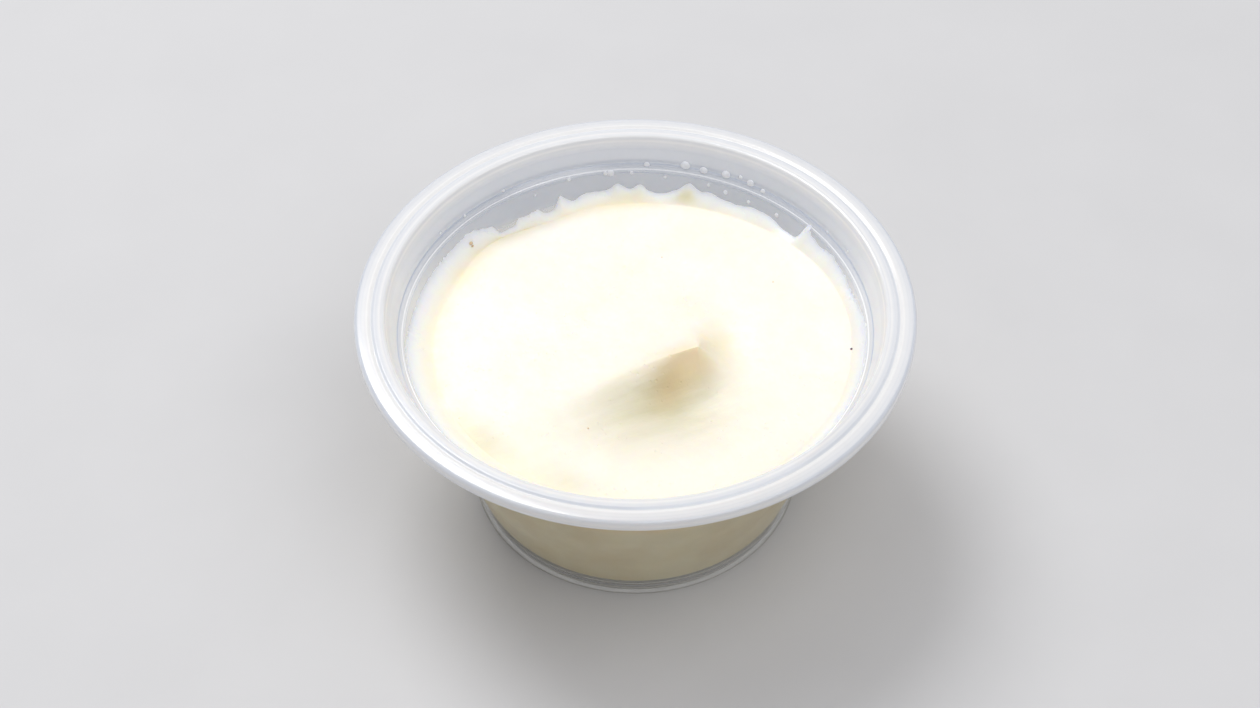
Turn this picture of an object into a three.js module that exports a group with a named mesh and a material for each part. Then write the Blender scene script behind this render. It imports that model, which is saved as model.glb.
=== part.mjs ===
import * as THREE from "three";

// An open portion cup of thin milky plastic, filled with thick cream sauce that was left with one soft peak.
// Sizes are in millimetres and angles in degrees. The cup stands on z = 0 and is round about the Z axis.
// Azimuth is counted from +X towards +Y, so 90 is the back of the cup and 270 its front.

// The cup's driving dimensions
const rimRadius = 40;
const rimHeight = 36;
const wall = 0.55;
const footRadius = 24.75;
const footWidth = 1.1;
const footHeight = 2.6;
const floorLift = 1.8;
const ledgeRadius = 33.2;
const ledgeWidth = 1.0;
const ledgeDrop = 5.2;
const brimInnerRadius = 35.75;
const brimThickness = 0.75;
const skirtDrop = 1.55;
const channelRadius = 37.6;
const channelWidth = 0.9;
const channelDepth = 0.22;
const cupSegments = 96;

// The sauce's driving dimensions
const gap = 0.3;
const creaseDrop = 9.0;
const creaseTilt = 0.3;
const creaseInset = 1.7;
const insetSwing = 0.95;
const insetAzimuth = 215;
const domeRise = 1.1;
const shoulderPower = 4;
const filmThickness = 0.4;
const floorCorner = 1.2;
const sauceSegments = 120;
const domeRings = 21;
const ringCrowding = 1.25;
const smearRings = 4;

// The peak: its tip, the crest that runs down from it, and how far the tip leans over the bowl in front
const tip = { x: 8.9, y: -5.7, z: 33.0 };
const crestAzimuth = 18.6;
const crestLength = 26;
const climbPower = 1.9;
const hook = 1.5;
const hookFade = 8;

// How the sauce falls from the crest at each side: width at the tip, widening per millimetre down the crest,
// and squareness. Round the tip it is narrower, most of all at one bearing.
const frontFall = { width: 3.7, widening: 0.25, power: 1.1, powerFar: 2.0, farBack: 11 };
const backFall = { width: 5.5, widening: 0.45, power: 1.4 };
const tipFall = { narrowing: 0.45, bearing: 0.1, half: 0.55 };

// The bowl in front of the crest, its wrap round the tip, and the lower shelf at the crest's far end, placed
// along the crest and across it
const bowl = { along: -3.0, across: -4.6, left: 10, right: 7, front: 8, back: 3.8, depth: 3.2 };
const wrap = { along: 5.5, across: 1, halfAlong: 4.5, halfAcross: 7, depth: 1.1 };
const shelf = { width: 6, from: 6, to: 16, depth: 0.4 };

// At the back left the body of the sauce sinks to reach the bays in its edge, and its crease nears the wall;
// at the right it is lifted
const sunkenSide = { at: 121.5, half: 12, drop: 1.1 };
const nearSide = { at: 130, half: 17, shift: 1.4 };
const raisedSide = { at: 8, half: 42, lift: 1.6 };

// The ragged edge on the wall: how far below the rim it keeps at the four sides, and the tongues that rise
// from it and the bays that fall from it, each with its azimuth, rise, half width and squareness
const edgeDrops = { front: 5.0, right: 5.7, back: 7.9, left: 6.6 };
const edgeSteps = { toRight: [2, 9], toBack: [38.6, 42.0], toLeft: [131, 141], toFront: [172, 192] };
const edgeForms = [
  { at: 128.3, rise: -1.75, half: 3.4, power: 6 },
  { at: 121.5, rise: -0.9, half: 4.0, power: 4 },
  { at: 114.8, rise: -1.7, half: 2.6, power: 4 },
  { at: 107.4, rise: -0.9, half: 1.9, power: 2 },
  { at: 94.9, rise: 1.0, half: 2.0, power: 2.2 },
  { at: 88.8, rise: 0.9, half: 1.5, power: 2.4 },
  { at: 83.5, rise: -0.55, half: 3.0, power: 3 },
  { at: 75.2, rise: 1.85, half: 2.6, power: 1.7 },
  { at: 53.5, rise: 0.65, half: 5.5, power: 4 },
  { at: 38.4, rise: 1.2, half: 1.3, power: 3 },
  { at: 15.0, rise: -0.5, half: 4.0, power: 2 },
];

const floorTop = floorLift + wall;
const radians = THREE.MathUtils.degToRad;
const { lerp, smoothstep, clamp } = THREE.MathUtils;

// One rounded corner of a profile: an arc of the given radius that touches both of its sides.
function roundedCorner(before, corner, after) {
  const { point, radius, steps } = corner;
  if (!radius) return [point];
  const toBefore = before.point.clone().sub(point).normalize();
  const toAfter = after.point.clone().sub(point).normalize();
  const half = Math.acos(clamp(toBefore.dot(toAfter), -1, 1)) / 2;
  const middle = toBefore.clone().add(toAfter).normalize();
  const centre = point.clone().addScaledVector(middle, radius / Math.sin(half));
  const start = point.clone().addScaledVector(toBefore, radius / Math.tan(half));
  const end = point.clone().addScaledVector(toAfter, radius / Math.tan(half));
  const from = start.sub(centre).angle();
  let turn = end.sub(centre).angle() - from;
  if (turn > Math.PI) turn -= 2 * Math.PI;
  if (turn < -Math.PI) turn += 2 * Math.PI;
  const onArc = (k) => {
    const angle = from + (turn * k) / steps;
    return centre.clone().add(new THREE.Vector2(Math.cos(angle), Math.sin(angle)).multiplyScalar(radius));
  };
  return Array.from({ length: steps + 1 }, (_, k) => onArc(k));
}

function roundedProfile(corners) {
  return corners.flatMap((corner, i) => roundedCorner(corners[i - 1], corner, corners[i + 1]));
}

const at = (r, z, radius = 0, steps = 1) => ({ point: new THREE.Vector2(r, z), radius, steps });

// The raised floor's underside, the foot ring, the tapered wall and the outside of the stacking ledge
function outsideCorners() {
  const ledgeHeight = rimHeight - ledgeDrop;
  return [
    at(0, floorLift),
    at(footRadius - footWidth, floorLift, 0.4),
    at(footRadius - footWidth, 0, 0.2),
    at(footRadius, 0, 0.3),
    at(footRadius, footHeight, 2.5),
    at(ledgeRadius + wall, ledgeHeight - wall / 2, 0.5),
    at(ledgeRadius + ledgeWidth + wall, ledgeHeight + ledgeWidth - wall / 2, 0.5),
  ];
}

// The brim: its underside, the skirt at its edge, the rolled lip and the shallow channel in its top
function brimCorners() {
  return [
    at(brimInnerRadius + wall, rimHeight - brimThickness),
    at(rimRadius - wall, rimHeight - brimThickness),
    at(rimRadius - wall, rimHeight - skirtDrop),
    at(rimRadius, rimHeight - skirtDrop, 0.2),
    at(rimRadius, rimHeight, 0.7, 3),
    at(channelRadius + channelWidth / 2, rimHeight),
    at(channelRadius + channelWidth / 6, rimHeight - channelDepth),
    at(channelRadius - channelWidth / 6, rimHeight - channelDepth),
    at(channelRadius - channelWidth / 2, rimHeight),
    at(brimInnerRadius, rimHeight, 0.5, 2),
  ];
}

// The inside: the upper wall, the stacking ledge, the tapered wall and the floor
function insideCorners() {
  const ledgeHeight = rimHeight - ledgeDrop;
  return [
    at(ledgeRadius + ledgeWidth, ledgeHeight + ledgeWidth, 0.5),
    at(ledgeRadius, ledgeHeight, 0.5),
    at(footRadius - wall, floorTop, 1.2, 2),
    at(0, floorTop),
  ];
}

function makeCup() {
  const profile = roundedProfile([...outsideCorners(), ...brimCorners(), ...insideCorners()]);
  const geometry = new THREE.LatheGeometry(profile, cupSegments);
  const plastic = new THREE.MeshStandardMaterial({ color: 0xdfe5ec, roughness: 0.3, metalness: 0 });
  plastic.transparent = true;
  plastic.opacity = 0.5;
  const cup = new THREE.Mesh(geometry, plastic);
  cup.name = "cup";
  cup.rotation.x = Math.PI / 2;
  return cup;
}

// Radius of the cup's inside at a height: the tapered wall, then the ledge, then the upper wall.
function insideRadius(z) {
  const ledgeHeight = rimHeight - ledgeDrop;
  const ledgeTop = ledgeHeight + ledgeWidth;
  if (z < ledgeHeight) return lerp(footRadius - wall, ledgeRadius, (z - floorTop) / (ledgeHeight - floorTop));
  if (z < ledgeTop) return ledgeRadius + z - ledgeHeight;
  return lerp(ledgeRadius + ledgeWidth, brimInnerRadius, (z - ledgeTop) / (rimHeight - ledgeTop));
}

const hump = (value, middle, half) => Math.exp(-(((value - middle) / half) ** 2));

// Height of the sauce's ragged edge on the wall: smooth steps between the sides, with the tongues and bays on them.
function edgeHeight(azimuth) {
  const { front, right, back, left } = edgeDrops;
  let drop = lerp(front, right, smoothstep(azimuth, ...edgeSteps.toRight));
  drop = lerp(drop, back, smoothstep(azimuth, ...edgeSteps.toBack));
  drop = lerp(drop, left, smoothstep(azimuth, ...edgeSteps.toLeft));
  drop = lerp(drop, front, smoothstep(azimuth, ...edgeSteps.toFront));
  const form = ({ at: middle, rise, half, power }) => rise * Math.exp(-(Math.abs((azimuth - middle) / half) ** power));
  return rimHeight - drop + edgeForms.reduce((sum, one) => sum + form(one), 0);
}

// Height of the plane that the sauce's crease lies on: lowest at the back.
function creaseHeight(y) {
  return rimHeight - creaseDrop - (creaseTilt * y) / ledgeRadius;
}

// The crease where the body of the sauce turns up into the smear on the wall. It lies furthest from the wall at the
// front left, almost touches it at the back left, and is lifted at the right.
function crease(azimuth) {
  const angle = radians(azimuth);
  const lift = raisedSide.lift * hump(Math.min(azimuth, 360 - azimuth), raisedSide.at, raisedSide.half);
  const sunk = sunkenSide.drop * hump(azimuth, sunkenSide.at, sunkenSide.half);
  const z = creaseHeight(ledgeRadius * Math.sin(angle)) + lift - sunk;
  const nearing = nearSide.shift * hump(azimuth, nearSide.at, nearSide.half);
  const inset = creaseInset + insetSwing * Math.cos(angle - radians(insetAzimuth)) - nearing;
  return { r: insideRadius(z) - gap - inset, z };
}

// The pulled peak, in coordinates along its crest and across it. The crest climbs to the tip. The sauce falls away
// by the distance to the crest, gently behind, longer in front and round beyond the tip, where the fall turns from
// one to the other with the bearing. In front lies a bowl that wraps round below the tip.
function peakForm(x, y) {
  const angle = radians(crestAzimuth);
  const along = (x - tip.x) * Math.cos(angle) + (y - tip.y) * Math.sin(angle);
  const across = (y - tip.y) * Math.cos(angle) - (x - tip.x) * Math.sin(angle);
  const back = Math.max(0, -along);
  const distance = Math.hypot(Math.max(0, along), across);
  const bearing = Math.atan2(across, Math.max(0, along)) / (Math.PI / 2);
  const behind = smoothstep(bearing, -1, 1);
  const narrowing = 1 - tipFall.narrowing * hump(bearing, tipFall.bearing, tipFall.half);
  const frontWidth = frontFall.width + frontFall.widening * back;
  const backWidth = backFall.width + backFall.widening * back;
  const frontPower = lerp(frontFall.power, frontFall.powerFar, smoothstep(back, 1, frontFall.farBack));
  const width = lerp(frontWidth, backWidth, behind) * narrowing;
  const power = lerp(frontPower, backFall.power, behind);
  const climb = Math.max(0, 1 - back / crestLength) ** climbPower;
  const inBowl = hump(along, bowl.along, along < bowl.along ? bowl.left : bowl.right)
    * hump(across, bowl.across, across < bowl.across ? bowl.front : bowl.back);
  const inWrap = hump(along, wrap.along, wrap.halfAlong) * hump(across, wrap.across, wrap.halfAcross);
  const onShelf = smoothstep(-across, 0, shelf.width) * smoothstep(back, shelf.from, shelf.to);
  const hollow = bowl.depth * inBowl + wrap.depth * inWrap + shelf.depth * onShelf;
  return { ridge: climb * Math.exp(-((distance / width) ** power)), hollow };
}

// A point of the open surface: a low dome that meets the crease, with the peak on it, which leans forward at its tip.
function surfacePoint(azimuth, share) {
  const [edgeX, edgeY] = polar(crease(azimuth).r, azimuth, 0);
  const x = lerp(tip.x, edgeX, share);
  const y = lerp(tip.y, edgeY, share);
  const around = crease((THREE.MathUtils.radToDeg(Math.atan2(y, x)) + 360) % 360);
  const shoulder = 1 - Math.min(1, Math.hypot(x, y) / around.r) ** shoulderPower;
  const { ridge, hollow } = peakForm(x, y);
  const dome = lerp(around.z, creaseHeight(y) + domeRise - hollow, shoulder);
  const z = lerp(dome, tip.z, ridge * shoulder);
  const lean = hook * (ridge ** 3 - 1) * (1 - share ** hookFade);
  const forward = radians(crestAzimuth - 90);
  return [x + lean * Math.cos(forward), y + lean * Math.sin(forward), z];
}

// One ring of the sauce's surface: a point for each azimuth.
function ring(pointAt) {
  return Array.from({ length: sauceSegments }, (_, j) => pointAt((360 * j) / sauceSegments));
}

function polar(r, azimuth, z) {
  return [r * Math.cos(radians(azimuth)), r * Math.sin(radians(azimuth)), z];
}

// A point of the smear: it nears the wall by 1 - sin and rises by 1 - cos of a quarter turn.
function smearPoint(azimuth, share) {
  const { r, z } = crease(azimuth);
  const turn = (share * Math.PI) / 2;
  const height = lerp(z, edgeHeight(azimuth), 1 - Math.cos(turn));
  const inset = insideRadius(z) - gap - r;
  const thickness = inset * (1 - Math.sin(turn)) + filmThickness * Math.sin(2 * turn);
  return polar(insideRadius(height) - gap - thickness, azimuth, height);
}

// The rings fan out from the tip to the crease, climb the smear to the ragged edge, and go down the wall.
function sauceRings() {
  const rings = [];
  for (let k = 1; k <= domeRings; k++) {
    rings.push(ring((azimuth) => surfacePoint(azimuth, (k / domeRings) ** ringCrowding)));
  }
  for (let k = 1; k <= smearRings; k++) {
    rings.push(ring((azimuth) => smearPoint(azimuth, k / smearRings)));
  }
  for (const z of [rimHeight - ledgeDrop - gap, rimHeight / 2, floorTop + gap + floorCorner]) {
    rings.push(ring((azimuth) => {
      const height = Math.min(z, edgeHeight(azimuth) - gap);
      return polar(insideRadius(height) - gap, azimuth, height);
    }));
  }
  rings.push(ring((azimuth) => polar(footRadius - wall - gap - floorCorner, azimuth, floorTop + gap)));
  return rings;
}

function makeSauce() {
  const rings = sauceRings();
  const points = [[tip.x, tip.y, tip.z], ...rings.flat(), [0, 0, floorTop + gap]];
  const last = points.length - 1;
  const index = (k, j) => 1 + k * sauceSegments + (j % sauceSegments);
  const faces = [];
  for (let j = 0; j < sauceSegments; j++) {
    faces.push(0, index(0, j), index(0, j + 1));
    for (let k = 0; k + 1 < rings.length; k++) {
      faces.push(index(k, j), index(k + 1, j), index(k + 1, j + 1));
      faces.push(index(k, j), index(k + 1, j + 1), index(k, j + 1));
    }
    faces.push(index(rings.length - 1, j), last, index(rings.length - 1, j + 1));
  }
  const geometry = new THREE.BufferGeometry();
  geometry.setAttribute("position", new THREE.Float32BufferAttribute(points.flat(), 3));
  geometry.setIndex(faces);
  geometry.computeVertexNormals();
  const cream = new THREE.MeshStandardMaterial({ color: 0xf8f3dc, roughness: 0.5, metalness: 0 });
  const sauce = new THREE.Mesh(geometry, cream);
  sauce.name = "sauce";
  return sauce;
}

const group = new THREE.Group();
group.add(makeCup(), makeSauce());

export default group;
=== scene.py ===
import bpy
import math
import numpy as np
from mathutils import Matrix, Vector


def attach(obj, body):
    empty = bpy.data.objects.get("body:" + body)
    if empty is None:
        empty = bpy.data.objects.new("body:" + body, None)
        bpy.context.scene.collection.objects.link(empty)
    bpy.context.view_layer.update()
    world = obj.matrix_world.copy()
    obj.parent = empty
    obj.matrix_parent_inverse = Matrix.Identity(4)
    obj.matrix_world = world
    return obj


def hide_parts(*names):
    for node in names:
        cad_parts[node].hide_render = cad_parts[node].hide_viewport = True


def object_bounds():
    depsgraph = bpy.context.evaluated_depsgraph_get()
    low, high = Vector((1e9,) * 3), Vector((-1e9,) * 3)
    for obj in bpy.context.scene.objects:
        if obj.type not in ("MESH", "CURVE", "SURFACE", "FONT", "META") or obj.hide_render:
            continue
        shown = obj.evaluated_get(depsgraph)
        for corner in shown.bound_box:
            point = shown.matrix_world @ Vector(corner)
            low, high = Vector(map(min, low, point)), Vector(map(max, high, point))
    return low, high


# A thin plastic portion cup full of cream sauce. Lengths are in millimetres unless a note says otherwise, and
# azimuths in degrees from +X towards +Y: 0 is the picture's right, 90 the back and 270 the front.

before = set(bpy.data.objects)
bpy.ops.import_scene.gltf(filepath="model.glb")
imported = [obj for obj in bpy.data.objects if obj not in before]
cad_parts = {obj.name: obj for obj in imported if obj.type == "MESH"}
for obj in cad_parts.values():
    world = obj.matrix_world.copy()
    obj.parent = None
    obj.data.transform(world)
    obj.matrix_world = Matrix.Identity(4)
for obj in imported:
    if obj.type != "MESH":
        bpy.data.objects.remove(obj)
cadLow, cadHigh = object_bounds()
mm = 0.001
sharpestSmooth = 75  # degrees between faces, beyond which an edge stays sharp
rimRadius = round(cadHigh.x / mm, 3)
rimHeight = round(cadHigh.z / mm, 3)
print("frame loaded: a cup %.1f mm across and %.1f mm high" % (2 * rimRadius, rimHeight))


# Formulas that the shapes and the colours share
def smooth(value, low, high):
    share = np.clip((value - low) / (high - low), 0, 1)
    return share * share * (3 - 2 * share)


# 1 from one smooth step up to a smooth step down, 0 outside them
def plateau(value, up, down):
    return smooth(value, *up) * (1 - smooth(value, *down))


def blendTo(a, b, share):
    return a + (b - a) * share


def hump(value, middle, half):
    return np.exp(-(((value - middle) / half) ** 2))


# A soft patch: the product of two humps, one in each direction, that may be wider on one side of the middle
def patch(along, across, form):
    return math.prod(hump(value, middle, np.where(value < middle, below, above))
                     for value, (middle, below, above) in ((along, form["along"]), (across, form["across"])))


# Faces of rows of points that close on themselves: point (row, column) joins the next row and column. Point 0
# closes the first row, and the point after all rows the last.
def rowFaces(rowCount, columnCount):
    index = 1 + np.arange(rowCount * columnCount).reshape(rowCount, columnCount)
    following = np.roll(index, -1, axis=1)
    quads = np.stack([index[:-1], index[1:], following[1:], following[:-1]], axis=-1).reshape(-1, 4)
    firstFan = np.stack([0 * index[0], index[0], following[0]], axis=-1)
    lastFan = np.stack([index[-1], 0 * index[0] + index[-1, -1] + 1, following[-1]], axis=-1)
    return quads, np.vstack([firstFan, lastFan])


# A smooth object. Each mark is one number for every point, which the materials read by its name.
def addPiece(name, points, faces, marks):
    mesh = bpy.data.meshes.new(name)
    mesh.from_pydata((points * mm).tolist(), [], faces)
    mesh.shade_smooth()
    for markName, values in marks.items():
        mesh.attributes.new(markName, "FLOAT", "POINT").data.foreach_set("value", values.astype(np.float32))
    piece = bpy.data.objects.new(name, mesh)
    bpy.context.scene.collection.objects.link(piece)
    return piece


# A closed surface of rows between two poles, which take the marks of the rows beside them
def meshFromRows(name, rows, firstPole, lastPole, marks):
    points = np.vstack([[firstPole], rows.reshape(-1, 3), [lastPole]])
    quads, fans = rowFaces(*rows.shape[:2])
    for markName, values in marks.items():
        marks[markName] = np.concatenate([[values[0].mean()], values.ravel(), [values[-1].mean()]])
    piece = addPiece(name, points, quads.tolist() + fans.tolist(), marks)
    piece.data.set_sharp_from_angle(angle=math.radians(sharpestSmooth))
    return piece


# The material graph: a wrapped socket takes + - * and ** as Math nodes
class Value:
    def __init__(self, graph, socket):
        self.graph = graph
        self.socket = socket

    def math(self, operation, first, second):
        return self.graph.math(operation, first, second)

    def __add__(self, other):
        return self.math("ADD", self, other)

    def __radd__(self, other):
        return self.math("ADD", other, self)

    def __sub__(self, other):
        return self.math("SUBTRACT", self, other)

    def __rsub__(self, other):
        return self.math("SUBTRACT", other, self)

    def __mul__(self, other):
        return self.math("MULTIPLY", self, other)

    def __rmul__(self, other):
        return self.math("MULTIPLY", other, self)

    def __pow__(self, other):
        return self.math("POWER", self, other)


class Graph:
    def __init__(self, name):
        self.material = bpy.data.materials.new(name)
        self.material.use_nodes = True
        self.tree = self.material.node_tree
        self.tree.nodes.clear()
        self.coordinates = self.add("ShaderNodeTexCoord", {}, {}, "Object")

    # Adds one node: its settings first, then the value or link of each socket. Gives back one wrapped output.
    def add(self, kind, settings, inputs, output=0):
        node = self.tree.nodes.new(kind)
        for key, value in settings.items():
            setattr(node, key, value)
        for key, value in inputs.items():
            if isinstance(value, Value):
                self.tree.links.new(value.socket, node.inputs[key])
            else:
                node.inputs[key].default_value = value
        return Value(self, node.outputs[output])

    def noise(self, scale, detail, roughness=0.5, coordinates=None):
        vector = coordinates or self.coordinates
        inputs = {"Vector": vector, "Scale": scale, "Detail": detail, "Roughness": roughness}
        return self.add("ShaderNodeTexNoise", {}, inputs, "Fac")

    def math(self, operation, first, second):
        return self.add("ShaderNodeMath", {"operation": operation}, {0: first, 1: second})

    # Distance to the nearest of many scattered points, in cells
    def cells(self, scale):
        return self.add("ShaderNodeTexVoronoi", {}, {"Vector": self.coordinates, "Scale": scale}, "Distance")

    def between(self, value, low, high):
        return self.add("ShaderNodeMapRange", {}, {"Value": value, "From Min": low, "From Max": high})

    # 0 at the first of two places in millimetres and 1 at the second
    def rising(self, place, span):
        return self.between(place, span[0] * mm, span[1] * mm)

    def mixColours(self, share, first, second):
        return self.add("ShaderNodeMix", {"data_type": "RGBA"}, {0: share, 6: first, 7: second}, 2)

    def axes(self):
        split = self.add("ShaderNodeSeparateXYZ", {}, {"Vector": self.coordinates}).socket.node
        return [Value(self, output) for output in split.outputs]

    def vector(self, x, y, z):
        return self.add("ShaderNodeCombineXYZ", {}, {"X": x, "Y": y, "Z": z})

    # Thin lines round the cup, each with a height, half width and strength: strength x (1 - distance / half)
    def linesAt(self, z, lines):
        return sum(strength * self.between(self.math("ABSOLUTE", z - height * mm, 0.0), half * mm, 0.0)
                   for height, half, strength in lines)

    def attribute(self, name):
        return self.add("ShaderNodeAttribute", {"attribute_name": name}, {}, "Fac")

    def bumped(self, height, distance, strength, normal=None):
        inputs = {"Height": height, "Distance": distance, "Strength": strength}
        if normal is not None:
            inputs["Normal"] = normal
        return self.add("ShaderNodeBump", {}, inputs, "Normal")

    def finish(self, shader):
        end = self.tree.nodes.new("ShaderNodeOutputMaterial")
        self.tree.links.new(shader.socket, end.inputs["Surface"])
        return self.material


# Camera: its place and pitch come from the outlines of the brim and the foot in the picture
camera = {
    "back": 210.26,  # how far in front of the cup's axis
    "up": 252.31,
    "pitch": 47.207,  # degrees below the horizon
    "focalPixels": 2119.2,
    "pictureWidth": 1260,
    "axisPixel": 635.35,  # where the cup's axis stands in the picture's width
    "sensor": 36.0,
}


def makeCamera(c):
    data = bpy.data.cameras.new("camera")
    data.sensor_width = c["sensor"]
    data.lens = c["focalPixels"] * c["sensor"] / c["pictureWidth"]
    data.shift_x = -(c["axisPixel"] - c["pictureWidth"] / 2) / c["pictureWidth"]
    data.clip_start = 0.01
    view = bpy.data.objects.new("camera", data)
    view.location = (0, -c["back"] * mm, c["up"] * mm)
    view.rotation_euler = (math.radians(90 - c["pitch"]), 0, 0)
    bpy.context.scene.collection.objects.link(view)
    bpy.context.scene.camera = view


makeCamera(camera)
print("camera placed")


# The cup. Its outline is a list of corners (radius, height, rounding) from the middle of the floor up the
# inside, over the brim, and down the outside to the middle of the floor's underside.
cup = {
    "wall": 0.55,
    "footRadius": 24.75,
    "footWidth": 1.1,
    "footHeight": 2.6,
    "floorLift": 1.8,
    "ledgeRadius": 33.2,
    "ledgeWidth": 1.0,
    "ledgeDrop": 5.2,
    "brimInnerRadius": 35.75,
    "brimThickness": 0.75,
    "skirtDrop": 1.55,
    "channelRadius": 37.6,
    "channelWidth": 0.9,
    "channelDepth": 0.22,
    "columns": 480,
    "arcSteps": 8,
    "longestStep": 3.0,
}
cup["floorTop"] = cup["floorLift"] + cup["wall"]
cup["ledgeHeight"] = rimHeight - cup["ledgeDrop"]


def cupCorners(c):
    wall = c["wall"]
    ledgeTop = c["ledgeHeight"] + c["ledgeWidth"]
    half = c["channelWidth"] / 2
    inside = [
        (0, c["floorTop"], 0),
        (c["footRadius"] - wall, c["floorTop"], 1.2),
        (c["ledgeRadius"], c["ledgeHeight"], 0.2),
        (c["ledgeRadius"] + c["ledgeWidth"], ledgeTop, 0.2),
    ]
    brim = [
        (c["brimInnerRadius"], rimHeight, 0.5),
        (c["channelRadius"] - half, rimHeight, 0.3),
        (c["channelRadius"], rimHeight - c["channelDepth"], 0.3),
        (c["channelRadius"] + half, rimHeight, 0.3),
        (rimRadius, rimHeight, 0.7),
        (rimRadius, rimHeight - c["skirtDrop"], 0.2),
        (rimRadius - wall, rimHeight - c["skirtDrop"], 0.15),
        (rimRadius - wall, rimHeight - c["brimThickness"], 0.25),
        (c["brimInnerRadius"] + wall, rimHeight - c["brimThickness"], 0.3),
    ]
    outside = [
        (c["ledgeRadius"] + c["ledgeWidth"] + wall, ledgeTop - wall / 2, 0.5),
        (c["ledgeRadius"] + wall, c["ledgeHeight"] - wall / 2, 0.5),
        (c["footRadius"], c["footHeight"], 2.5),
        (c["footRadius"], 0, 0.3),
        (c["footRadius"] - c["footWidth"], 0, 0.2),
        (c["footRadius"] - c["footWidth"], c["floorLift"], 0.4),
        (0, c["floorLift"], 0),
    ]
    return np.array(inside + brim + outside, float)


# Each corner becomes an arc that touches both of its sides: for a half angle h between the sides, the arc
# starts rounding / tan(h) from the corner and its centre lies rounding / sin(h) along the bisector.
def roundedOutline(corners, steps):
    points = [corners[0, :2]]
    for before, (r, z, rounding), after in zip(corners[:-2], corners[1:-1], corners[2:]):
        corner = np.array([r, z])
        toBefore = (before[:2] - corner) / np.linalg.norm(before[:2] - corner)
        toAfter = (after[:2] - corner) / np.linalg.norm(after[:2] - corner)
        half = math.acos(float(np.clip(toBefore @ toAfter, -1, 1))) / 2
        bisector = (toBefore + toAfter) / np.linalg.norm(toBefore + toAfter)
        centre = corner + bisector * rounding / math.sin(half)
        start = corner + toBefore * rounding / math.tan(half) - centre
        end = corner + toAfter * rounding / math.tan(half) - centre
        turn = math.atan2(start[0] * end[1] - start[1] * end[0], start @ end)
        angles = math.atan2(start[1], start[0]) + turn * np.linspace(0, 1, steps + 1)
        points.extend(centre + rounding * np.stack([np.cos(angles), np.sin(angles)], axis=-1))
    points.append(corners[-1, :2])
    return np.array(points)


# Long straight stretches get extra rings, so that no face is much longer than it is wide.
def subdivided(outline, longest):
    points = [outline[:1]]
    for a, b in zip(outline[:-1], outline[1:]):
        count = max(1, math.ceil(np.linalg.norm(b - a) / longest))
        points.append(a + (b - a) * np.linspace(0, 1, count + 1)[1:, None])
    return np.vstack(points)


# A point of the outline (r, z) at azimuth a is (r cos a, r sin a, z).
def turned(outline, columns):
    angles = np.linspace(0, 2 * math.pi, columns, endpoint=False)
    r, z = outline[:, :1], outline[:, 1:]
    return np.stack([r * np.cos(angles), r * np.sin(angles), z + 0 * angles], axis=-1)


def makeCup(c):
    outline = subdivided(roundedOutline(cupCorners(c), c["arcSteps"]), c["longestStep"])
    rows = turned(outline[1:-1], c["columns"])
    return meshFromRows("cupShell", rows, (0, 0, outline[0, 1]), (0, 0, outline[-1, 1]), {})


# Milky plastic, too thin to bend the light that passes it. How much it hides follows the height, because the
# brim looks whitest, grows at the cup's sides and where it is seen at a slant, and varies in thin rings.
plastic = {
    "hidesLow": 0.16,  # foot and tapered wall
    "hidesHigh": 0.34,  # from just below the ledge up
    "hidesBrim": 0.62,
    "hidesSides": 0.21,  # more, on the upper wall away from the back
    "hidesRings": 0.3,
    "hidesClouds": 0.10,
    "hidesSlant": 0.35,
    "slantBlend": 0.25,
    "upperPart": (27.8, 29.0),  # heights between which the part begins
    "upperTilt": 0.055,  # how much lower it begins towards the back
    "wallPart": (30.9, 32.5),
    "brimPart": (34.0, 35.2),
    "sidePart": (27.0, 6.0),  # places from back to front
    "sideWhite": (0.90, 0.92, 0.96, 1),
    "brimWhite": (0.90, 0.895, 0.89, 1),
    "brimBlue": (0.68, 0.72, 0.80, 1),
    "brimRange": (0.38, 0.56),
    "wallGrey": (0.62, 0.66, 0.74, 1),
    "lowGrey": (0.56, 0.55, 0.50, 1),
    "ledgeGrey": (0.40, 0.45, 0.54, 1),
    # The next two colours are a painted shade line and a painted glint line.
    "paintedLineShade": (0.36, 0.42, 0.55, 1),
    "paintedGlint": (0.95, 0.96, 0.98, 1),
    "darkShare": 2.0,
    "lightShare": 1.5,
    # Painted shade lines, then painted glints, each with height, half width and strength
    "paintedShadeLines": [(31.75, 0.22, 0.35), (30.72, 0.10, 0.40), (2.1, 0.20, 0.30)],
    "paintedGlintLines": [(31.12, 0.13, 0.60), (2.75, 0.16, 0.45), (1.6, 0.12, 0.30)],
    "ringScale": 900.0,
    "ringDepth": 0.06,
    "cloudScale": 160.0,
    "waveScale": 70.0,
    "waveDepth": 0.2,
    "glossScale": 700.0,
    "gloss": (0.10, 0.12),  # least roughness, and how much it varies
}


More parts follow.
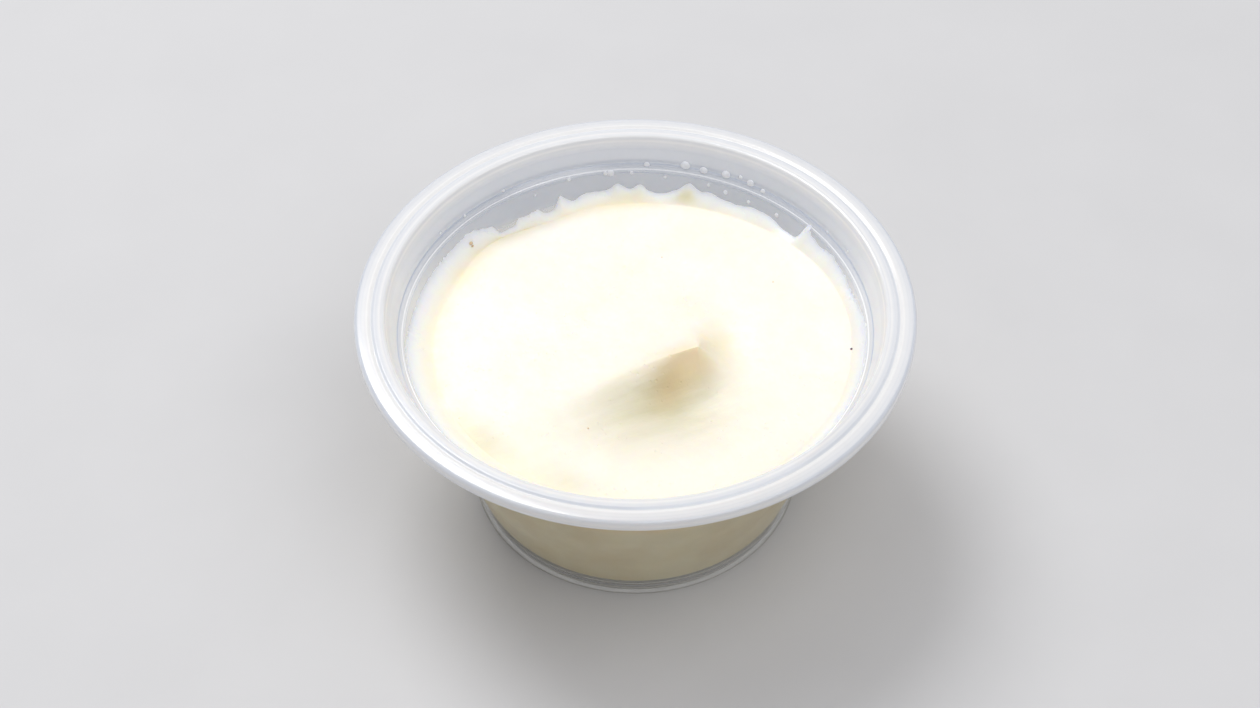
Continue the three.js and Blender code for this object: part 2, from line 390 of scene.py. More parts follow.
def makePlastic(c):
    g = Graph("milkyPlastic")
    x, y, z = g.axes()
    radius = (x * x + y * y) ** 0.5
    rings = g.noise(c["ringScale"], 2.0, 0.5, g.vector(radius, 0.0, z))
    clouds = g.noise(c["cloudScale"], 3.0)
    slant = g.add("ShaderNodeLayerWeight", {}, {"Blend": c["slantBlend"]}, "Facing")
    upper = g.rising(z + c["upperTilt"] * y, c["upperPart"])
    brim = g.rising(z, c["brimPart"])
    sides = g.rising(y, c["sidePart"]) * upper * (1 - brim)
    # Painted shade lines and painted glints on the wall below the brim, which also hide more of what lies
    # behind
    dark, light = (g.linesAt(z, c[name]) * (1 - brim) for name in ("paintedShadeLines", "paintedGlintLines"))
    alpha = c["hidesLow"] + (c["hidesHigh"] - c["hidesLow"]) * upper
    alpha = alpha + (c["hidesBrim"] - c["hidesHigh"]) * brim
    alpha = alpha + c["hidesRings"] * brim * (rings - 0.5) + c["hidesClouds"] * (clouds - 0.5)
    alpha = alpha + c["hidesSlant"] * slant + dark + light + c["hidesSides"] * sides
    bands = g.mixColours(g.between(rings, *c["brimRange"]), c["brimBlue"], c["brimWhite"])
    wall = g.mixColours(upper, c["lowGrey"], c["ledgeGrey"])
    wall = g.mixColours(g.rising(z, c["wallPart"]), wall, c["wallGrey"])
    wall = g.mixColours(sides, wall, c["sideWhite"])
    wall = g.mixColours(dark * c["darkShare"], wall, c["paintedLineShade"])
    wall = g.mixColours(light * c["lightShare"], wall, c["paintedGlint"])
    waves = g.bumped(g.noise(c["waveScale"], 2.0), c["waveDepth"] * mm, 0.3)
    shader = g.add("ShaderNodeBsdfPrincipled", {"subsurface_method": "RANDOM_WALK"}, {
        "Base Color": g.mixColours(brim, wall, bands),
        "Roughness": c["gloss"][0] + c["gloss"][1] * g.noise(c["glossScale"], 2.0),
        "IOR": 1.49,
        "Specular IOR Level": 1.0,
        "Subsurface Weight": 0.3,
        "Subsurface Radius": (1.0, 1.0, 1.0),
        "Subsurface Scale": 0.0004,
        "Alpha": alpha,
        "Normal": g.bumped(rings * brim, c["ringDepth"] * mm, 0.5, waves),
    })
    return g.finish(shader)


# The sauce. Its peak is placed along its crest, from the tip outwards, and across it to the back. A patch has
# its middle and its half widths below and above the middle, in both directions.
sauce = {
    "reach": 0.05,  # how far it reaches into the plastic, so that no air shows
    "wallGap": 0.3,  # what the crease keeps from the plastic
    "creaseDrop": 9.0,
    "creaseTilt": 0.3,
    "creaseInset": 1.7,
    "insetSwing": 0.95,
    "insetAzimuth": 214.86,
    "creaseWobble": 0.2,
    "creaseWaves": range(3, 17, 2),
    "creaseSeed": 3,
    "sunkenSide": {"at": 121.5, "half": 12, "drop": 1.1},
    "nearSide": {"at": 130, "half": 17, "shift": 1.4},
    "raisedSide": {"at": 8, "half": 42, "lift": 1.6},
    "domeRise": 1.1,
    "shoulderPower": 4.0,
    "rippleHeight": 0.09,
    "rippleLengths": (17, 11, 7.5, 5.2, 3.8, 2.6, 1.9),
    "rippleBend": 0.8,
    "bendLength": 1.7,  # in lengths of the ripple
    "dents": [(-20.5, -18.0, 4.0, 0.5), (-7.0, -25.5, 3.2, 0.4)],  # x, y, half, depth
    "tip": (8.9, -5.7, 33.0),
    "crestAzimuth": 18.6,
    "crestLength": 26.0,
    "climbPower": 1.9,
    "hook": 1.5,  # how far the crest leans forward at the tip
    "hookPower": 3,
    "hookFade": 8,
    "frontFall": {"width": 3.7, "widening": 0.25, "power": 1.1, "powerFar": 2.0, "far": (1, 11)},
    "backFall": {"width": 5.5, "widening": 0.45, "power": 1.4},
    "tipFall": {"narrowing": 0.45, "bearing": 0.1, "half": 0.55},
    "bowl": {"along": (-3.0, 10.0, 7.0), "across": (-4.6, 8.0, 3.8), "depth": 3.2},
    "wrap": {"along": (5.5, 4.5, 4.5), "across": (1.0, 7.0, 7.0), "depth": 1.1},
    "shelf": {"width": 6, "span": (6, 16), "depth": 0.4},
    "filmThickness": 0.4,
    "cornerRounding": 1.2,
    "columns": 600,
    "domeRows": 120,
    "rowCrowding": 1.25,  # towards the tip
    "smearRows": 14,
    "sideRows": 14,
    "firstSideStep": 0.04,
    "cornerRows": 5,
    "seed": 7,
}
# The ragged edge on the wall: how far below the rim it keeps at the four sides and between which azimuths it
# changes, its seeded teeth as waves per turn, and the tongues that rise from it and the bays that fall, each
# with its azimuth, rise, half width and squareness
edge = {
    "drops": {"front": 5.0, "right": 5.7, "back": 7.9, "left": 6.6},
    "steps": {"right": (2, 9), "back": (38.6, 42.0), "left": (131, 141), "front": (172, 192)},
    "raggedness": 0.16,
    "teeth": range(31, 170, 7),
    "tornRaggedness": 0.34,  # more, at the left and the right
    "tornTeeth": range(97, 230, 13),
    "tornLeft": ((132, 142), (205, 230)),
    "tornRight": (26, 35),
    "leastRise": 0.1,
    "forms": [
        (140.0, 0.3, 5.0, 2), (128.3, -1.75, 3.4, 6), (121.5, -0.9, 4.0, 4), (119.9, 0.3, 0.4, 1),
        (114.8, -1.7, 2.6, 4), (111.0, 0.7, 0.8, 1.2), (107.4, -0.9, 1.9, 2), (94.9, 1.0, 2.0, 2.2),
        (88.8, 0.9, 1.5, 2.4), (83.5, -0.55, 3.0, 3), (75.2, 1.85, 2.6, 1.7), (66.0, 0.2, 4.0, 2),
        (53.5, 0.65, 5.5, 4), (38.4, 1.2, 1.3, 3), (69.5, 0.8, 3.0, 2), (57.0, 0.3, 9.0, 4),
        (32.5, -0.4, 1.5, 2), (27.0, 0.3, 2.0, 2), (15.0, -0.5, 4.0, 2),
    ],
}
# Where the sauce changes its colour. Patches of painted shade by the peak lie along and across the crest,
# those of painted shade near the rim at the front left by azimuth and radius, and stains on the smear by
# azimuth and by the turn of its curve.
tones = {
    # tail, core and beyond are painted shade: in front of the crest, its darkest part under the tip, and
    # beyond the tip
    "tail": {"along": (-5.2, 14.0, 8.0), "across": (-4.2, 8.5, 4.2)},
    "core": {"along": (-5.9, 3.8, 3.8), "across": (0.6, 2.4, 2.4)},
    "coreTurn": (0.77, 0.64),  # cosine and sine of how it is turned from the crest
    "beyond": {"along": (4.0, 3.5, 3.5), "across": (1.8, 4.5, 4.5)},
    # a painted warm glow of light in the shaded face below the tip
    "paintedGlow": {"along": (-1.2, 3.4, 3.4), "across": (-1.8, 2.4, 2.4)},
    # painted shade near the rim at the front left
    "leftRimShade": {"along": (221, 14, 14), "across": (28.3, 2.6, 2.6)},
    "frontRimShade": {"along": (251, 13, 13), "across": (28.2, 2.0, 2.0)},
    "frontRimShadeShare": 0.8,
    "stains": [(76, 3.2, 1.0), (91, 5.0, 0.45)],  # azimuth, half width, strength
    "stainTurn": (0.95, 0.42),
    "hollowShares": {"tail": 0.95, "beyond": 0.2, "frontLeftShade": 0.45, "stain": 0.6},
    "foldShares": {"beyond": 1.4, "frontLeftShade": 0.35, "stain": 2.2},
    "foldWidth": 0.05667,  # as a share of the way from the crease to the tip
    "foldTurn": 0.6,
    "foldSpan": ((50, 85), (215, 265)),
    "filmSpan": ((120, 150), (215, 250)),
    "filmLeast": 0.7,
    "filmPower": 3,
    "filmStain": 0.9,
    "pastEdge": [(0.35, 0.65), (0.85, 0.15)],  # side and film on the first rows below the edge
}
markNames = ("fold", "film", "side", "hollow", "deepShade", "paintedGlow")


# Radius of the cup's inside at a height: the tapered wall, then the ledge, then the upper wall.
def insideRadius(z):
    ledgeTop = cup["ledgeHeight"] + cup["ledgeWidth"]
    heights = [cup["floorTop"], cup["ledgeHeight"], ledgeTop, rimHeight]
    ledgeRadii = [cup["ledgeRadius"], cup["ledgeRadius"] + cup["ledgeWidth"]]
    return np.interp(z, heights, [cup["footRadius"] - cup["wall"], *ledgeRadii, cup["brimInnerRadius"]])


# A closed wobble round the cup: waves of whole numbers per turn with seeded sizes and phases.
def wobble(azimuth, waves, seed):
    draw = np.random.default_rng(seed)
    sizes = draw.uniform(0.4, 1.0, len(waves))
    phases = draw.uniform(0, 2 * math.pi, len(waves))
    total = sum(a * np.sin(n * np.radians(azimuth) + p) for n, a, p in zip(waves, sizes, phases))
    return total / sizes.sum()


# Height of the ragged edge on the wall: smooth steps between the four sides, and the tongues and bays on them
def edgeHeight(azimuth):
    e = edge
    drop = e["drops"]["front"]
    for side, step in e["steps"].items():
        drop = blendTo(drop, e["drops"][side], smooth(azimuth, *step))
    forms = sum(rise * np.exp(-np.abs((azimuth - at) / half) ** power)
                for at, rise, half, power in e["forms"])
    torn = plateau(azimuth, *e["tornLeft"]) + 1 - smooth(azimuth, *e["tornRight"])
    teeth = e["raggedness"] * wobble(azimuth, e["teeth"], sauce["seed"])
    teeth += e["tornRaggedness"] * torn * wobble(azimuth, e["tornTeeth"], sauce["seed"] + 2)
    return rimHeight - drop + forms + teeth


def creaseHeight(y):
    return rimHeight - sauce["creaseDrop"] - sauce["creaseTilt"] * y / cup["ledgeRadius"]


# The crease where the body of the sauce turns up into the smear on the wall: (radius, height) at an azimuth.
# It lies furthest from the wall at the front left and almost touches it at the back left.
def crease(azimuth):
    s = sauce
    sunken, near, raised = s["sunkenSide"], s["nearSide"], s["raisedSide"]
    angle = np.radians(azimuth)
    lift = raised["lift"] * hump(np.minimum(azimuth, 360 - azimuth), raised["at"], raised["half"])
    sunk = sunken["drop"] * hump(azimuth, sunken["at"], sunken["half"])
    z = creaseHeight(cup["ledgeRadius"] * np.sin(angle)) + lift - sunk
    nearing = near["shift"] * hump(azimuth, near["at"], near["half"])
    inset = s["creaseInset"] + s["insetSwing"] * np.cos(angle - math.radians(s["insetAzimuth"])) - nearing
    wave = s["creaseWobble"] * wobble(azimuth, s["creaseWaves"], s["creaseSeed"])
    return insideRadius(z) - s["wallGap"] - inset - wave, z


# A fall from 1 to 0 over a width: pointed at power 1, round at power 2
def fall(distance, width, power):
    return np.exp(-((np.maximum(0, distance) / width) ** power))


# How far a point lies along the crest, beyond its tip, and how far across it, to the back
def alongAcross(x, y):
    angle = math.radians(sauce["crestAzimuth"])
    right, forth = x - sauce["tip"][0], y - sauce["tip"][1]
    along = right * math.cos(angle) + forth * math.sin(angle)
    return along, forth * math.cos(angle) - right * math.sin(angle)


# The pulled peak. The crest climbs to the tip. The sauce falls away from it by the distance to the crest's
# line, gently behind, longer in front and round beyond the tip, where the fall turns from one to the other
# with the bearing. In front lies a bowl that wraps round below the tip. Gives the climb's share and the
# bowl's depth.
def peakForm(x, y):
    s = sauce
    front, rear, end, shelf = s["frontFall"], s["backFall"], s["tipFall"], s["shelf"]
    along, across = alongAcross(x, y)
    back = np.maximum(0, -along)
    distance = np.hypot(np.maximum(0, along), across)
    bearing = np.arctan2(across, np.maximum(0, along)) / (math.pi / 2)
    behind = smooth(bearing, -1, 1)
    frontWidth, rearWidth = (form["width"] + form["widening"] * back for form in (front, rear))
    narrowing = 1 - end["narrowing"] * hump(bearing, end["bearing"], end["half"])
    width = blendTo(frontWidth, rearWidth, behind) * narrowing
    power = blendTo(front["power"], front["powerFar"], smooth(back, *front["far"]))
    power = blendTo(power, rear["power"], behind)
    climb = np.maximum(0, 1 - back / s["crestLength"]) ** s["climbPower"]
    hollow = sum(s[name]["depth"] * patch(along, across, s[name]) for name in ("bowl", "wrap"))
    hollow = hollow + shelf["depth"] * smooth(-across, 0, shelf["width"]) * smooth(back, *shelf["span"])
    return climb * fall(distance, width, power), hollow


# Soft unevenness of the stirred sauce: crossed waves, higher the longer they are, with seeded bearings and
# phases, less a few round dents
def ripples(x, y):
    s = sauce
    draw = np.random.default_rng(s["seed"] + 1)
    waves = 0
    for length in s["rippleLengths"]:
        bearing, phase = draw.uniform(0, 2 * math.pi, 2)
        waveNumber = 2 * math.pi / length
        sideways = (x * math.sin(bearing) - y * math.cos(bearing)) * waveNumber / s["bendLength"]
        forwards = (x * math.cos(bearing) + y * math.sin(bearing)) * waveNumber
        waves = waves + length * np.sin(forwards + phase + s["rippleBend"] * np.sin(sideways))
    dents = sum(depth * hump(np.hypot(x - dentX, y - dentY), 0, half)
                for dentX, dentY, half, depth in s["dents"])
    return s["rippleHeight"] * waves / max(s["rippleLengths"]) - dents


# Height of the open surface: a low dome that meets the crease at 1 - (r / crease radius)^power, and the peak
# on it, with the climb's share
def surfaceHeight(x, y):
    azimuth = np.degrees(np.arctan2(y, x)) % 360
    creaseRadius, creaseZ = crease(azimuth)
    shoulder = 1 - np.minimum(1, np.hypot(x, y) / creaseRadius) ** sauce["shoulderPower"]
    ridge, hollow = peakForm(x, y)
    dome = blendTo(creaseZ, creaseHeight(y) + sauce["domeRise"] - hollow + ripples(x, y), shoulder)
    return blendTo(dome, sauce["tip"][2], ridge * shoulder), ridge


# Marks for the colours, one number for every point of the rows: fold is 1 in the crease, where its shade is
# painted yellow, film at the smear's thin edge, side on the wall, where the sauce's shade is painted, hollow
# and deepShade where the shade in and round the bowl is painted, and paintedGlow on the crest beside it, a
# painted warm light. Fold and hollow also carry the stains on the smear.
def sauceMarks(t, x, y, azimuth, share, turns, rowCount):
    along, across = alongAcross(x, y)
    cosine, sine = t["coreTurn"]
    core = patch(cosine * along + sine * across, cosine * across - sine * along, t["core"])
    tail, beyond = patch(along, across, t["tail"]), patch(along, across, t["beyond"])
    bearing, radius = np.degrees(np.arctan2(y, x)) % 360, np.hypot(x, y)
    # painted shade near the rim at the front left
    frontLeftShade = patch(bearing, radius, t["leftRimShade"])
    frontLeftShade = frontLeftShade + t["frontRimShadeShare"] * patch(bearing, radius, t["frontRimShade"])
    stain = sum(strength * hump(azimuth, at, half) for at, half, strength in t["stains"])
    stain = stain * hump(turns, *t["stainTurn"])[:, None]

    marks = {name: np.zeros((rowCount, len(azimuth))) for name in markNames}
    fold, film, side, hollow, deepShade, paintedGlow = marks.values()
    dome = slice(0, len(share))
    smear = slice(dome.stop, dome.stop + len(turns))
    tint = t["hollowShares"]
    # painted shade in front of the crest, beyond the tip and near the front left rim; the stains on the smear
    # are their own colour
    hollow[dome] = tint["tail"] * tail + tint["beyond"] * beyond + tint["frontLeftShade"] * frontLeftShade
    hollow[smear] = tint["stain"] * stain
    deepShade[dome] = core
    paintedGlow[dome] = patch(along, across, t["paintedGlow"])
    tint = t["foldShares"]
    fold[dome] = hump(share, 1, t["foldWidth"])
    fold[smear] = hump(turns, 0, t["foldTurn"])[:, None]
    fold *= plateau(azimuth, *t["foldSpan"])
    # painted shade beyond the tip and near the front left rim, and the stains' own colour
    fold[dome] += tint["frontLeftShade"] * frontLeftShade + tint["beyond"] * beyond
    fold[smear] += tint["stain"] * stain
    film[smear] = np.sin(turns)[:, None] ** t["filmPower"] * (1 - t["filmStain"] * stain)
    film[smear] *= blendTo(t["filmLeast"], 1.0, plateau(azimuth, *t["filmSpan"]))
    side[smear.stop:] = 1
    for row, (sideShare, filmShare) in enumerate(t["pastEdge"], smear.stop):
        side[row], film[row] = sideShare, filmShare
    return marks


# Rows fan out from the tip to the crease, climb the smear to the ragged edge, nearing the wall by 1 - sin and
# rising by 1 - cos of a quarter turn, and go down the wall to the floor. Gives their points and marks.
def sauceRows(s):
    azimuth = np.linspace(0, 360, s["columns"], endpoint=False)
    cosines, sines = np.cos(np.radians(azimuth)), np.sin(np.radians(azimuth))
    creaseRadius, creaseZ = crease(azimuth)
    share = (np.arange(1, s["domeRows"] + 1) / s["domeRows"])[:, None] ** s["rowCrowding"]
    x = blendTo(s["tip"][0], creaseRadius * cosines, share)
    y = blendTo(s["tip"][1], creaseRadius * sines, share)
    z, ridge = surfaceHeight(x, y)
    lean = s["hook"] * (ridge ** s["hookPower"] - 1) * (1 - share ** s["hookFade"])
    angle = math.radians(s["crestAzimuth"] - 90)
    dome = np.stack([x + lean * math.cos(angle), y + lean * math.sin(angle), z], axis=-1)

    def around(radius, z):
        return np.stack([radius * cosines, radius * sines, z + 0 * azimuth], axis=-1)

    top = np.maximum(edgeHeight(azimuth), creaseZ + edge["leastRise"])
    inset = insideRadius(creaseZ) + s["reach"] - creaseRadius
    turns = np.linspace(0, math.pi / 2, s["smearRows"] + 1)[1:]
    rows = []
    for turn in turns:
        z = blendTo(creaseZ, top, 1 - math.cos(turn))
        thickness = inset * (1 - math.sin(turn)) + s["filmThickness"] * math.sin(2 * turn)
        rows.append(around(insideRadius(z) + s["reach"] - thickness, z))
    bottomZ = cup["floorTop"] + s["cornerRounding"]
    for step in np.linspace(s["firstSideStep"], 1, s["sideRows"]):
        z = blendTo(top, bottomZ, step)
        rows.append(around(insideRadius(z) + s["reach"], z))
    corner = insideRadius(bottomZ) + s["reach"] - s["cornerRounding"]
    for angle in np.linspace(0, math.pi / 2, s["cornerRows"] + 1)[1:]:
        z = bottomZ - (s["cornerRounding"] + s["reach"]) * math.sin(angle)
        rows.append(around(corner + s["cornerRounding"] * math.cos(angle), z))
    rows.append(around(corner / 2, cup["floorTop"] - s["reach"]))
    rows = np.concatenate([dome, np.array(rows)])
    return rows, sauceMarks(tones, x, y, azimuth, share, turns, len(rows))


def makeSauce(s):
    rows, marks = sauceRows(s)
    return meshFromRows("sauceBody", rows, rows[0].mean(axis=0), (0, 0, cup["floorTop"] - s["reach"]), marks)


cream = {
    "pale": (0.90, 0.86, 0.795, 1),
    "warm": (0.895, 0.84, 0.735, 1),
    # painted yellow shade of the crease, also the yellow of the stains on the smear
    "shadeAndStainYellow": (0.93, 0.83, 0.56, 1),
    # the thin smear's own whiter tone, brightened further as painted light coming through the wall
    "filmWhiteAndLight": (0.99, 0.985, 0.96, 1),
    # the sauce's side, painted in the shade below the brim, with painted warm light at its top
    "sideShadeTan": (0.64, 0.53, 0.29, 1),
    "sideShadePale": (0.72, 0.64, 0.40, 1),
    "sideTopLight": (0.95, 0.66, 0.30, 1),
    # painted shade towards the front
    "frontShadeWarm": (0.835, 0.79, 0.695, 1),
    # painted shade in and round the bowl, also the tan of the stains; then the deeper painted shade under the
    # tip
    "shadeAndStainTan": (0.62, 0.585, 0.415, 1),
    "deepShadeTan": (0.60, 0.46, 0.24, 1),
    # painted warm glow below the tip
    "paintedGlowOrange": (0.95, 0.76, 0.45, 1),
    "patchScale": 110.0,
    "patchRange": (0.35, 0.65),
    "frontPart": (-4.0, -30.0),  # places from the middle to the front
    "frontShare": 0.6,
    "foldRange": (0.3, 0.6),
    "foldShare": 0.55,
    "hollowShare": 0.82,
    "streakShare": 0.35,
    "streakRange": (0.3, 0.7),
    "streakScale": 520.0,
    "streakTurn": 6.0,  # degrees from the crest
    "streakAlong": 0.16,  # the smaller, the longer the streaks
    "streakUp": 0.3,
    "streakDepth": 0.5,
    "deepShare": 0.7,
    "glowShare": 0.5,
    "sideRange": (0.38, 0.62),
    "sideTopLightPart": (20.5, 26.0),  # heights
    "bubbleScale": 1100.0,
    "bubbleSize": (0.10, 0.26),
    "bubbleDepth": 0.12,
    "smoothScale": 230.0,
    "smoothRange": (0.62, 0.48),
    "softScale": 150.0,
    "softDepth": 0.6,
    "glossScale": 300.0,
    "gloss": (0.34, 0.2),  # least roughness, and how much it varies
}


# Cream with soft patches, a painted yellow shade along the crease, a bluish thin film at the edge brightened
# by painted light, painted shade towards the front and in the bowl in drawn streaks, a painted tan shade on
# the side with painted warm light below the brim, and fine burst bubbles, with smooth places between them
def makeCream(c):
    g = Graph("creamSauce")
    x, y, z = g.axes()
    fold, film, side, hollow, deepShade, paintedGlow = (g.attribute(name) for name in markNames)
    patches = g.noise(c["patchScale"], 4.0, 0.6)
    turn = math.radians(sauce["crestAzimuth"] + c["streakTurn"])
    along = math.cos(turn) * x + math.sin(turn) * y
    across = math.cos(turn) * y - math.sin(turn) * x
    stretched = g.vector(c["streakAlong"] * along, across, c["streakUp"] * z)
    streaks = g.noise(c["streakScale"], 3.0, 0.6, stretched)
    drawn = c["hollowShare"] + c["streakShare"] * g.between(streaks, *c["streakRange"])
    # the side: painted shade, with painted warm light towards the brim
    wall = g.mixColours(g.between(patches, *c["sideRange"]), c["sideShadeTan"], c["sideShadePale"])
    wall = g.mixColours(g.rising(z, c["sideTopLightPart"]), wall, c["sideTopLight"])
    base = g.mixColours(g.between(patches, *c["patchRange"]), c["pale"], c["warm"])
    # painted shade towards the front
    base = g.mixColours(g.rising(y, c["frontPart"]) * c["frontShare"], base, c["frontShadeWarm"])
    # painted yellow shade in the crease, beyond the tip and near the front left rim, and the stains' yellow
    base = g.mixColours(fold * g.between(patches, *c["foldRange"]) * c["foldShare"], base, c["shadeAndStainYellow"])
    # painted shade in the bowl, in drawn streaks, and its darker painted core
    base = g.mixColours(hollow * drawn, base, c["shadeAndStainTan"])
    base = g.mixColours(deepShade * c["deepShare"], base, c["deepShadeTan"])
    # painted warm glow in the shaded face below the tip
    base = g.mixColours(paintedGlow * c["glowShare"], base, c["paintedGlowOrange"])
    # the smear's whiter tone, partly painted light from behind the wall
    base = g.mixColours(film, base, c["filmWhiteAndLight"])
    base = g.mixColours(side, base, wall)
    pits = g.between(g.cells(c["bubbleScale"]), *c["bubbleSize"])
    pits = pits + g.between(g.noise(c["smoothScale"], 2.0), *c["smoothRange"])
    uneven = g.bumped(streaks * hollow, c["streakDepth"] * mm, 0.4)
    uneven = g.bumped(g.noise(c["softScale"], 5.0, 0.55) * (1 - side), c["softDepth"] * mm, 0.3, uneven)
    shader = g.add("ShaderNodeBsdfPrincipled", {"subsurface_method": "RANDOM_WALK"}, {
        "Base Color": base,
        "Roughness": c["gloss"][0] + c["gloss"][1] * g.noise(c["glossScale"], 3.0),
        "IOR": 1.42,
        "Subsurface Weight": 0.7,
        "Subsurface Radius": (1.0, 0.72, 0.36),
        "Subsurface Scale": 0.0018,
        "Normal": g.bumped(g.math("MINIMUM", pits + side, 1.0), c["bubbleDepth"] * mm, 0.5, uneven),
    })
    return g.finish(shader)


shell = makeCup(cup)
shell.data.materials.append(makePlastic(plastic))
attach(shell, "root")
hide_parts("cup")
print("cup made")

# Small things on the cup and the sauce. Droplets are flattened balls on the wall, each with its azimuth,
# height and size. Specks are lumpy grains half sunk in the sauce, each with x, y, lift, size and darkness.
droplets = {
    "onWall": [
        (87, 31.6, 0.30), (77, 31.9, 0.48), (72, 31.7, 0.42), (66, 31.9, 0.46), (62, 32.3, 0.20),
        (59, 31.9, 0.40), (55, 31.6, 0.28), (108, 30.75, 0.20), (98, 30.8, 0.22), (96.6, 30.8, 0.34),
        (91, 30.7, 0.18), (65, 29.7, 0.24), (58, 29.5, 0.20), (49, 29.6, 0.22), (82, 30.2, 0.14),
        (70, 30.1, 0.16), (118, 29.8, 0.14), (126, 31.9, 0.16), (139, 31.7, 0.18), (148, 32.2, 0.15),
        (33, 31.9, 0.17), (24, 32.4, 0.15),
    ],
    "growth": 1.6,
    "flatness": 0.28,
    "milk": (0.95, 0.96, 0.985, 1),
    "blue": (0.76, 0.80, 0.89, 1),
    "facing": (0.95, 0.31),  # how far a droplet's flat side turns inwards and up
    "hides": 0.8,
    "hidesClouds": 0.5,
    "cloudScale": 1500.0,
    "glossScale": 900.0,
    "gloss": (0.06, 0.06),
}
specks = {
    "onSauce": [
        (31.2, -2.2, 0.0, 0.22, 1.0), (-24.85, 19.9, 1.65, 0.28, 0.25), (-24.7, 19.8, 1.15, 0.22, 0.2),
        (-6.6, -16.6, 0.0, 0.12, 0.1), (-14.5, 5.5, 0.0, 0.12, 0.1), (20.5, 12.0, 0.0, 0.11, 0.1),
        (4.0, 17.5, 0.0, 0.11, 0.1),
    ],
    "flatness": 0.6,
    "lumps": 0.18,
    "pale": (0.84, 0.62, 0.40, 1),
    "dark": (0.10, 0.07, 0.05, 1),
    "shadeScale": 4000.0,
    "shadeShare": 0.3,
    "glossScale": 5000.0,
    "gloss": (0.45, 0.2),
}
ballRows = 7
ballColumns = 12


# Flattened balls: a unit ball's points, made lumpy by seeded shares, are scaled by size, by size x flatness
# along the normal, and set at places.
def makeBalls(name, places, normals, sizes, flatness, lumps, marks):
    draw = np.random.default_rng(sauce["seed"])
    polar = np.linspace(0, math.pi, ballRows + 2)[1:-1]
    turn = np.linspace(0, 2 * math.pi, ballColumns, endpoint=False)
    polar, turn = np.meshgrid(polar, turn, indexing="ij")
    ball = np.stack([np.sin(polar) * np.cos(turn), np.sin(polar) * np.sin(turn), np.cos(polar)], axis=-1)
    ball = np.vstack([[(0, 0, 1)], ball.reshape(-1, 3), [(0, 0, -1)]])
    sideways = np.cross(normals, np.where(np.abs(normals[:, 2:]) > 0.9, (1.0, 0, 0), (0, 0, 1.0)))
    sideways /= np.linalg.norm(sideways, axis=1, keepdims=True)
    upwards = np.cross(normals, sideways)
    scale = sizes[:, None, None] * (1 + lumps * draw.uniform(-1, 1, (len(sizes), len(ball), 1)))
    shape = ball[None] * scale * np.array([1, 1, flatness])
    points = places[:, None] + shape[..., :1] * sideways[:, None] + shape[..., 1:2] * upwards[:, None]
    points = points + shape[..., 2:] * normals[:, None]
    starts = len(ball) * np.arange(len(sizes))[:, None, None]
    quads, fans = ((part[None] + starts).reshape(-1, part.shape[1]).tolist()
                   for part in rowFaces(ballRows, ballColumns))
    marks = {markName: np.repeat(values, len(ball)) for markName, values in marks.items()}
    return addPiece(name, points.reshape(-1, 3), quads + fans, marks)


def makeDroplets(d):
    azimuth, height, size = np.array(d["onWall"], float).T
    size = size * d["growth"]
    angle = np.radians(azimuth)
    outward = np.stack([np.cos(angle), np.sin(angle), 0 * angle], axis=-1)
    places = outward * insideRadius(height)[:, None] + np.stack([0 * angle, 0 * angle, height], axis=-1)
    inwards, up = d["facing"]
    normals = -outward * inwards + np.array([0, 0, up])
    normals /= np.linalg.norm(normals, axis=1, keepdims=True)
    return makeBalls("wallDroplets", places, normals, size, d["flatness"], 0.0, {})


def makeSpecks(d):
    x, y, lift, size, darkness = np.array(d["onSauce"], float).T
    z = surfaceHeight(x, y)[0] + lift
    normals = np.tile([0.0, 0.0, 1.0], (len(x), 1))
    places = np.stack([x, y, z], axis=-1)
    return makeBalls("darkSpecks", places, normals, size, d["flatness"], d["lumps"], {"darkness": darkness})


def makeDropFinish(d):
    g = Graph("milkDrops")
    clouds = g.noise(d["cloudScale"], 2.0)
    return g.finish(g.add("ShaderNodeBsdfPrincipled", {}, {
        "Base Color": g.mixColours(clouds, d["milk"], d["blue"]),
        "Roughness": d["gloss"][0] + d["gloss"][1] * g.noise(d["glossScale"], 2.0),
        "IOR": 1.45,
        "Specular IOR Level": 1.0,
        "Alpha": d["hides"] + d["hidesClouds"] * (clouds - 0.5),
    }))


def makeSpeckFinish(d):
    g = Graph("pepperSpecks")
    darkness = g.attribute("darkness") + d["shadeShare"] * (g.noise(d["shadeScale"], 2.0) - 0.5)
    return g.finish(g.add("ShaderNodeBsdfPrincipled", {}, {
        "Base Color": g.mixColours(darkness, d["pale"], d["dark"]),
        "Roughness": d["gloss"][0] + d["gloss"][1] * g.noise(d["glossScale"], 2.0),
    }))


for piece, finish in [
    (makeDroplets(droplets), makeDropFinish(droplets)),
    (makeSpecks(specks), makeSpeckFinish(specks)),
]:
    piece.data.materials.append(finish)
    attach(piece, "root")
print("droplets and specks made")

body = makeSauce(sauce)
body.data.materials.append(makeCream(cream))
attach(body, "root")
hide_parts("sauce")
print("sauce made")


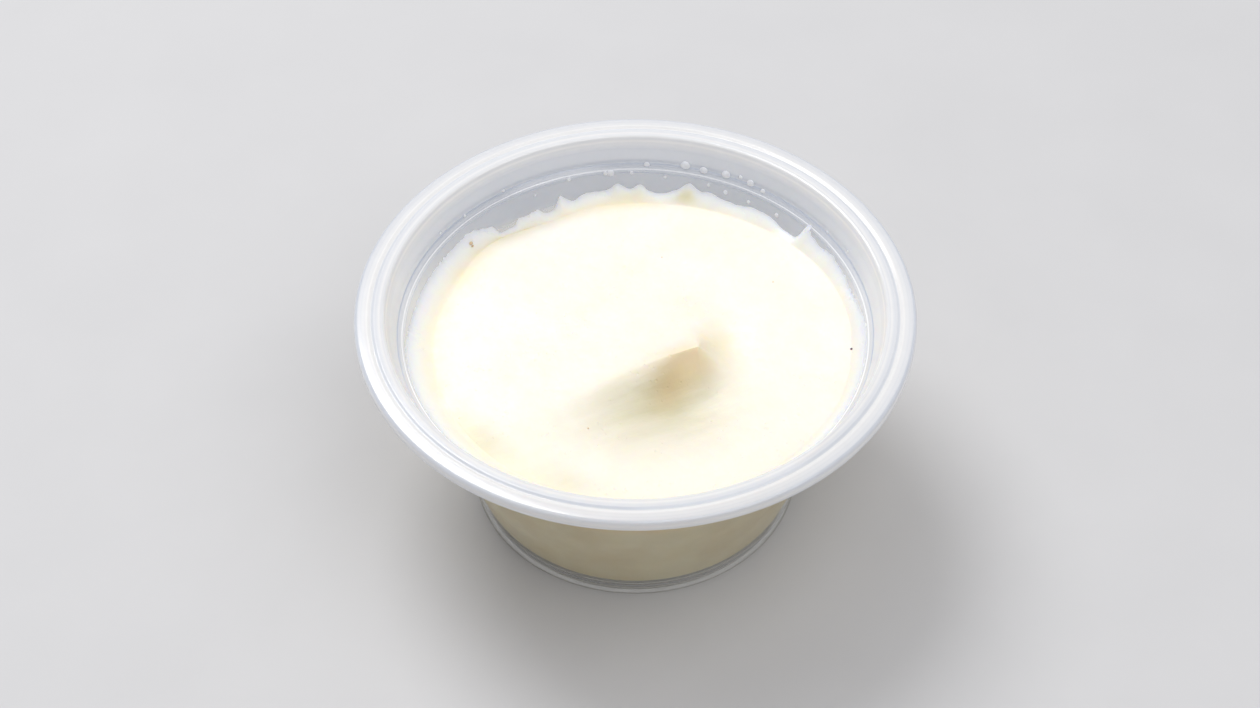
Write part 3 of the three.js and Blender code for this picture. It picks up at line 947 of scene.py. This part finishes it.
# Floor and lights, with places and sizes in metres
studio = {
    "floorSize": 3.0,
    "floorDark": (0.57, 0.57, 0.58, 1),
    "floorLight": (0.61, 0.61, 0.62, 1),
    "floorScale": 45.0,
    "aim": (0, 0, 0.02),
    "keyPlace": (-0.29, 0.38, 0.80),
    "keySize": 0.5,
    "keyPower": 4.9,
    "fillPlace": (0.35, -0.30, 0.85),
    "fillSize": 0.8,
    "fillPower": 2.9,
    "worldColour": (0.97, 0.965, 0.98),
    "worldStrength": 0.50,
}


def makeFloor(s):
    mesh = bpy.data.meshes.new("floor")
    h = s["floorSize"] / 2
    mesh.from_pydata([(-h, -h, 0), (h, -h, 0), (h, h, 0), (-h, h, 0)], [], [(0, 1, 2, 3)])
    floor = bpy.data.objects.new("floor", mesh)
    bpy.context.scene.collection.objects.link(floor)
    g = Graph("paleFloor")
    base = g.mixColours(g.noise(s["floorScale"], 4.0), s["floorDark"], s["floorLight"])
    shader = g.add("ShaderNodeBsdfPrincipled", {}, {"Base Color": base, "Roughness": 0.7})
    mesh.materials.append(g.finish(shader))


def makeLight(name, place, size, power):
    data = bpy.data.lights.new(name, "AREA")
    data.shape = "DISK"
    data.size = size
    data.energy = power
    light = bpy.data.objects.new(name, data)
    light.location = place
    aim = np.array(studio["aim"]) - np.array(place)
    across = math.hypot(aim[0], aim[1])
    light.rotation_euler = (math.atan2(across, -aim[2]), 0, math.atan2(-aim[0], aim[1]))
    bpy.context.scene.collection.objects.link(light)


def makeWorld(colour, strength):
    world = bpy.data.worlds.new("studio")
    world.use_nodes = True
    world.node_tree.nodes["Background"].inputs["Color"].default_value = (*colour, 1)
    world.node_tree.nodes["Background"].inputs["Strength"].default_value = strength
    bpy.context.scene.world = world


makeFloor(studio)
makeLight("key", studio["keyPlace"], studio["keySize"], studio["keyPower"])
makeLight("fill", studio["fillPlace"], studio["fillSize"], studio["fillPower"])
makeWorld(studio["worldColour"], studio["worldStrength"])
bpy.context.scene.view_settings.view_transform = "Standard"
print("floor and lights placed")
